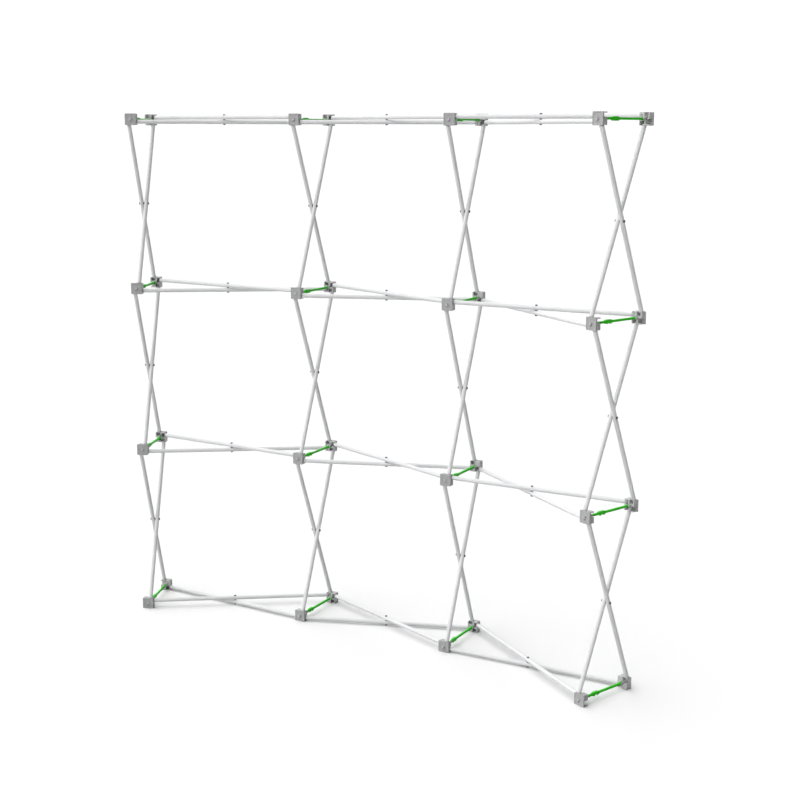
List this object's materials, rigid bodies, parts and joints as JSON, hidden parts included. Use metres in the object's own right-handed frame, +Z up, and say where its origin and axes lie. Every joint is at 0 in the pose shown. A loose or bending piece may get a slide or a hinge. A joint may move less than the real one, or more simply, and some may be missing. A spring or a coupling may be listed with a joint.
{
  "type": "pop up display frame",
  "caption": "Free-standing curved lattice frame of crossed tubes, square hubs and hooked green locks that opens into a display wall.",
  "frame": {"origin": "middle of the bounding box on the floor", "axes": "+X along the wall to the right as seen from the front, +Y from the front to the back, +Z up"},
  "size_m": [2.4044, 0.5238, 2.27],
  "materials": {
    "hub_plastic": "moulded grey nylon with a fine grain",
    "tube_aluminium": "satin anodised, drawn along the tube",
    "pin_steel": "bright turned steel",
    "stud_metal": "turned zinc-plated stud",
    "rivet_black": "blackened rivet and nylon washer",
    "lock_green": "moulded green plastic, semi gloss"
  },
  "bodies": {
    "frame": {"front_hubs_row_1": "hub_plastic", "front_hubs_row_2": "hub_plastic", "front_hubs_row_3": "hub_plastic", "front_hubs_row_4": "hub_plastic", "back_hubs_row_1": "hub_plastic", "back_hubs_row_2": "hub_plastic", "back_hubs_row_3": "hub_plastic", "back_hubs_row_4": "hub_plastic", "level_tubes_upper_row_1": "tube_aluminium", "level_tubes_upper_row_2": "tube_aluminium", "level_tubes_upper_row_3": "tube_aluminium", "level_tubes_upper_row_4": "tube_aluminium", "level_tubes_lower_row_1": "tube_aluminium", "level_tubes_lower_row_2": "tube_aluminium", "level_tubes_lower_row_3": "tube_aluminium", "level_tubes_lower_row_4": "tube_aluminium", "upright_tubes_left_column_1": "tube_aluminium", "upright_tubes_left_column_2": "tube_aluminium", "upright_tubes_left_column_3": "tube_aluminium", "upright_tubes_left_column_4": "tube_aluminium", "upright_tubes_right_column_1": "tube_aluminium", "upright_tubes_right_column_2": "tube_aluminium", "upright_tubes_right_column_3": "tube_aluminium", "upright_tubes_right_column_4": "tube_aluminium", "tube_end_plugs": "hub_plastic", "hinge_pins": "pin_steel", "scissor_rivets": "rivet_black", "panel_studs": "stud_metal"},
    "lock_back_arm_1_1": {"lock_back_arm_1_1": "lock_green"},
    "lock_front_arm_1_1": {"lock_front_arm_1_1": "lock_green"},
    "lock_back_arm_1_2": {"lock_back_arm_1_2": "lock_green"},
    "lock_front_arm_1_2": {"lock_front_arm_1_2": "lock_green"},
    "lock_back_arm_1_3": {"lock_back_arm_1_3": "lock_green"},
    "lock_front_arm_1_3": {"lock_front_arm_1_3": "lock_green"},
    "lock_back_arm_1_4": {"lock_back_arm_1_4": "lock_green"},
    "lock_front_arm_1_4": {"lock_front_arm_1_4": "lock_green"},
    "lock_back_arm_2_1": {"lock_back_arm_2_1": "lock_green"},
    "lock_front_arm_2_1": {"lock_front_arm_2_1": "lock_green"},
    "lock_back_arm_2_2": {"lock_back_arm_2_2": "lock_green"},
    "lock_front_arm_2_2": {"lock_front_arm_2_2": "lock_green"},
    "lock_back_arm_2_3": {"lock_back_arm_2_3": "lock_green"},
    "lock_front_arm_2_3": {"lock_front_arm_2_3": "lock_green"},
    "lock_back_arm_2_4": {"lock_back_arm_2_4": "lock_green"},
    "lock_front_arm_2_4": {"lock_front_arm_2_4": "lock_green"},
    "lock_back_arm_3_1": {"lock_back_arm_3_1": "lock_green"},
    "lock_front_arm_3_1": {"lock_front_arm_3_1": "lock_green"},
    "lock_back_arm_3_2": {"lock_back_arm_3_2": "lock_green"},
    "lock_front_arm_3_2": {"lock_front_arm_3_2": "lock_green"},
    "lock_back_arm_3_3": {"lock_back_arm_3_3": "lock_green"},
    "lock_front_arm_3_3": {"lock_front_arm_3_3": "lock_green"},
    "lock_back_arm_3_4": {"lock_back_arm_3_4": "lock_green"},
    "lock_front_arm_3_4": {"lock_front_arm_3_4": "lock_green"},
    "lock_back_arm_4_1": {"lock_back_arm_4_1": "lock_green"},
    "lock_front_arm_4_1": {"lock_front_arm_4_1": "lock_green"},
    "lock_back_arm_4_2": {"lock_back_arm_4_2": "lock_green"},
    "lock_front_arm_4_2": {"lock_front_arm_4_2": "lock_green"},
    "lock_back_arm_4_3": {"lock_back_arm_4_3": "lock_green"},
    "lock_front_arm_4_3": {"lock_front_arm_4_3": "lock_green"},
    "lock_back_arm_4_4": {"lock_back_arm_4_4": "lock_green"},
    "lock_front_arm_4_4": {"lock_front_arm_4_4": "lock_green"}
  },
  "joints": [
    {"name": "back_arm_lift_1_1", "type": "hinge", "parent": "frame", "child": "lock_back_arm_1_1", "pos_m": [-1.16714, -0.02016, 2.245], "axis": [-0.9354, -0.3535, 0], "range_deg": [0, 70]},
    {"name": "front_arm_drop_1_1", "type": "hinge", "parent": "frame", "child": "lock_front_arm_1_1", "pos_m": [-1.09079, -0.22221, 2.245], "axis": [-0.9354, -0.3535, 0], "range_deg": [0, 80]},
    {"name": "back_arm_lift_1_2", "type": "hinge", "parent": "frame", "child": "lock_back_arm_1_2", "pos_m": [-0.37466, 0.22853, 2.245], "axis": [-0.9999, -0.0157, 0], "range_deg": [0, 70]},
    {"name": "front_arm_drop_1_2", "type": "hinge", "parent": "frame", "child": "lock_front_arm_1_2", "pos_m": [-0.37102, -0.00344, 2.245], "axis": [-0.9999, -0.0157, 0], "range_deg": [0, 80]},
    {"name": "back_arm_lift_1_3", "type": "hinge", "parent": "frame", "child": "lock_back_arm_1_3", "pos_m": [0.37466, 0.22853, 2.245], "axis": [-0.9999, 0.0157, 0], "range_deg": [0, 70]},
    {"name": "front_arm_drop_1_3", "type": "hinge", "parent": "frame", "child": "lock_front_arm_1_3", "pos_m": [0.37102, -0.00344, 2.245], "axis": [-0.9999, 0.0157, 0], "range_deg": [0, 80]},
    {"name": "back_arm_lift_1_4", "type": "hinge", "parent": "frame", "child": "lock_back_arm_1_4", "pos_m": [1.16714, -0.02016, 2.245], "axis": [-0.9354, 0.3535, 0], "range_deg": [0, 70]},
    {"name": "front_arm_drop_1_4", "type": "hinge", "parent": "frame", "child": "lock_front_arm_1_4", "pos_m": [1.09079, -0.22221, 2.245], "axis": [-0.9354, 0.3535, 0], "range_deg": [0, 80]},
    {"name": "back_arm_lift_2_1", "type": "hinge", "parent": "frame", "child": "lock_back_arm_2_1", "pos_m": [-1.16714, -0.02016, 1.505], "axis": [-0.9354, -0.3535, 0], "range_deg": [0, 70]},
    {"name": "front_arm_drop_2_1", "type": "hinge", "parent": "frame", "child": "lock_front_arm_2_1", "pos_m": [-1.09079, -0.22221, 1.505], "axis": [-0.9354, -0.3535, 0], "range_deg": [0, 80]},
    {"name": "back_arm_lift_2_2", "type": "hinge", "parent": "frame", "child": "lock_back_arm_2_2", "pos_m": [-0.37466, 0.22853, 1.505], "axis": [-0.9999, -0.0157, 0], "range_deg": [0, 70]},
    {"name": "front_arm_drop_2_2", "type": "hinge", "parent": "frame", "child": "lock_front_arm_2_2", "pos_m": [-0.37102, -0.00344, 1.505], "axis": [-0.9999, -0.0157, 0], "range_deg": [0, 80]},
    {"name": "back_arm_lift_2_3", "type": "hinge", "parent": "frame", "child": "lock_back_arm_2_3", "pos_m": [0.37466, 0.22853, 1.505], "axis": [-0.9999, 0.0157, 0], "range_deg": [0, 70]},
    {"name": "front_arm_drop_2_3", "type": "hinge", "parent": "frame", "child": "lock_front_arm_2_3", "pos_m": [0.37102, -0.00344, 1.505], "axis": [-0.9999, 0.0157, 0], "range_deg": [0, 80]},
    {"name": "back_arm_lift_2_4", "type": "hinge", "parent": "frame", "child": "lock_back_arm_2_4", "pos_m": [1.16714, -0.02016, 1.505], "axis": [-0.9354, 0.3535, 0], "range_deg": [0, 70]},
    {"name": "front_arm_drop_2_4", "type": "hinge", "parent": "frame", "child": "lock_front_arm_2_4", "pos_m": [1.09079, -0.22221, 1.505], "axis": [-0.9354, 0.3535, 0], "range_deg": [0, 80]},
    {"name": "back_arm_lift_3_1", "type": "hinge", "parent": "frame", "child": "lock_back_arm_3_1", "pos_m": [-1.16714, -0.02016, 0.765], "axis": [-0.9354, -0.3535, 0], "range_deg": [0, 70]},
    {"name": "front_arm_drop_3_1", "type": "hinge", "parent": "frame", "child": "lock_front_arm_3_1", "pos_m": [-1.09079, -0.22221, 0.765], "axis": [-0.9354, -0.3535, 0], "range_deg": [0, 80]},
    {"name": "back_arm_lift_3_2", "type": "hinge", "parent": "frame", "child": "lock_back_arm_3_2", "pos_m": [-0.37466, 0.22853, 0.765], "axis": [-0.9999, -0.0157, 0], "range_deg": [0, 70]},
    {"name": "front_arm_drop_3_2", "type": "hinge", "parent": "frame", "child": "lock_front_arm_3_2", "pos_m": [-0.37102, -0.00344, 0.765], "axis": [-0.9999, -0.0157, 0], "range_deg": [0, 80]},
    {"name": "back_arm_lift_3_3", "type": "hinge", "parent": "frame", "child": "lock_back_arm_3_3", "pos_m": [0.37466, 0.22853, 0.765], "axis": [-0.9999, 0.0157, 0], "range_deg": [0, 70]},
    {"name": "front_arm_drop_3_3", "type": "hinge", "parent": "frame", "child": "lock_front_arm_3_3", "pos_m": [0.37102, -0.00344, 0.765], "axis": [-0.9999, 0.0157, 0], "range_deg": [0, 80]},
    {"name": "back_arm_lift_3_4", "type": "hinge", "parent": "frame", "child": "lock_back_arm_3_4", "pos_m": [1.16714, -0.02016, 0.765], "axis": [-0.9354, 0.3535, 0], "range_deg": [0, 70]},
    {"name": "front_arm_drop_3_4", "type": "hinge", "parent": "frame", "child": "lock_front_arm_3_4", "pos_m": [1.09079, -0.22221, 0.765], "axis": [-0.9354, 0.3535, 0], "range_deg": [0, 80]},
    {"name": "back_arm_lift_4_1", "type": "hinge", "parent": "frame", "child": "lock_back_arm_4_1", "pos_m": [-1.16714, -0.02016, 0.025], "axis": [-0.9354, -0.3535, 0], "range_deg": [0, 70]},
    {"name": "front_arm_drop_4_1", "type": "hinge", "parent": "frame", "child": "lock_front_arm_4_1", "pos_m": [-1.09079, -0.22221, 0.025], "axis": [-0.9354, -0.3535, 0], "range_deg": [0, 19]},
    {"name": "back_arm_lift_4_2", "type": "hinge", "parent": "frame", "child": "lock_back_arm_4_2", "pos_m": [-0.37466, 0.22853, 0.025], "axis": [-0.9999, -0.0157, 0], "range_deg": [0, 70]},
    {"name": "front_arm_drop_4_2", "type": "hinge", "parent": "frame", "child": "lock_front_arm_4_2", "pos_m": [-0.37102, -0.00344, 0.025], "axis": [-0.9999, -0.0157, 0], "range_deg": [0, 19]},
    {"name": "back_arm_lift_4_3", "type": "hinge", "parent": "frame", "child": "lock_back_arm_4_3", "pos_m": [0.37466, 0.22853, 0.025], "axis": [-0.9999, 0.0157, 0], "range_deg": [0, 70]},
    {"name": "front_arm_drop_4_3", "type": "hinge", "parent": "frame", "child": "lock_front_arm_4_3", "pos_m": [0.37102, -0.00344, 0.025], "axis": [-0.9999, 0.0157, 0], "range_deg": [0, 19]},
    {"name": "back_arm_lift_4_4", "type": "hinge", "parent": "frame", "child": "lock_back_arm_4_4", "pos_m": [1.16714, -0.02016, 0.025], "axis": [-0.9354, 0.3535, 0], "range_deg": [0, 70]},
    {"name": "front_arm_drop_4_4", "type": "hinge", "parent": "frame", "child": "lock_front_arm_4_4", "pos_m": [1.09079, -0.22221, 0.025], "axis": [-0.9354, 0.3535, 0], "range_deg": [0, 19]}
  ]
}
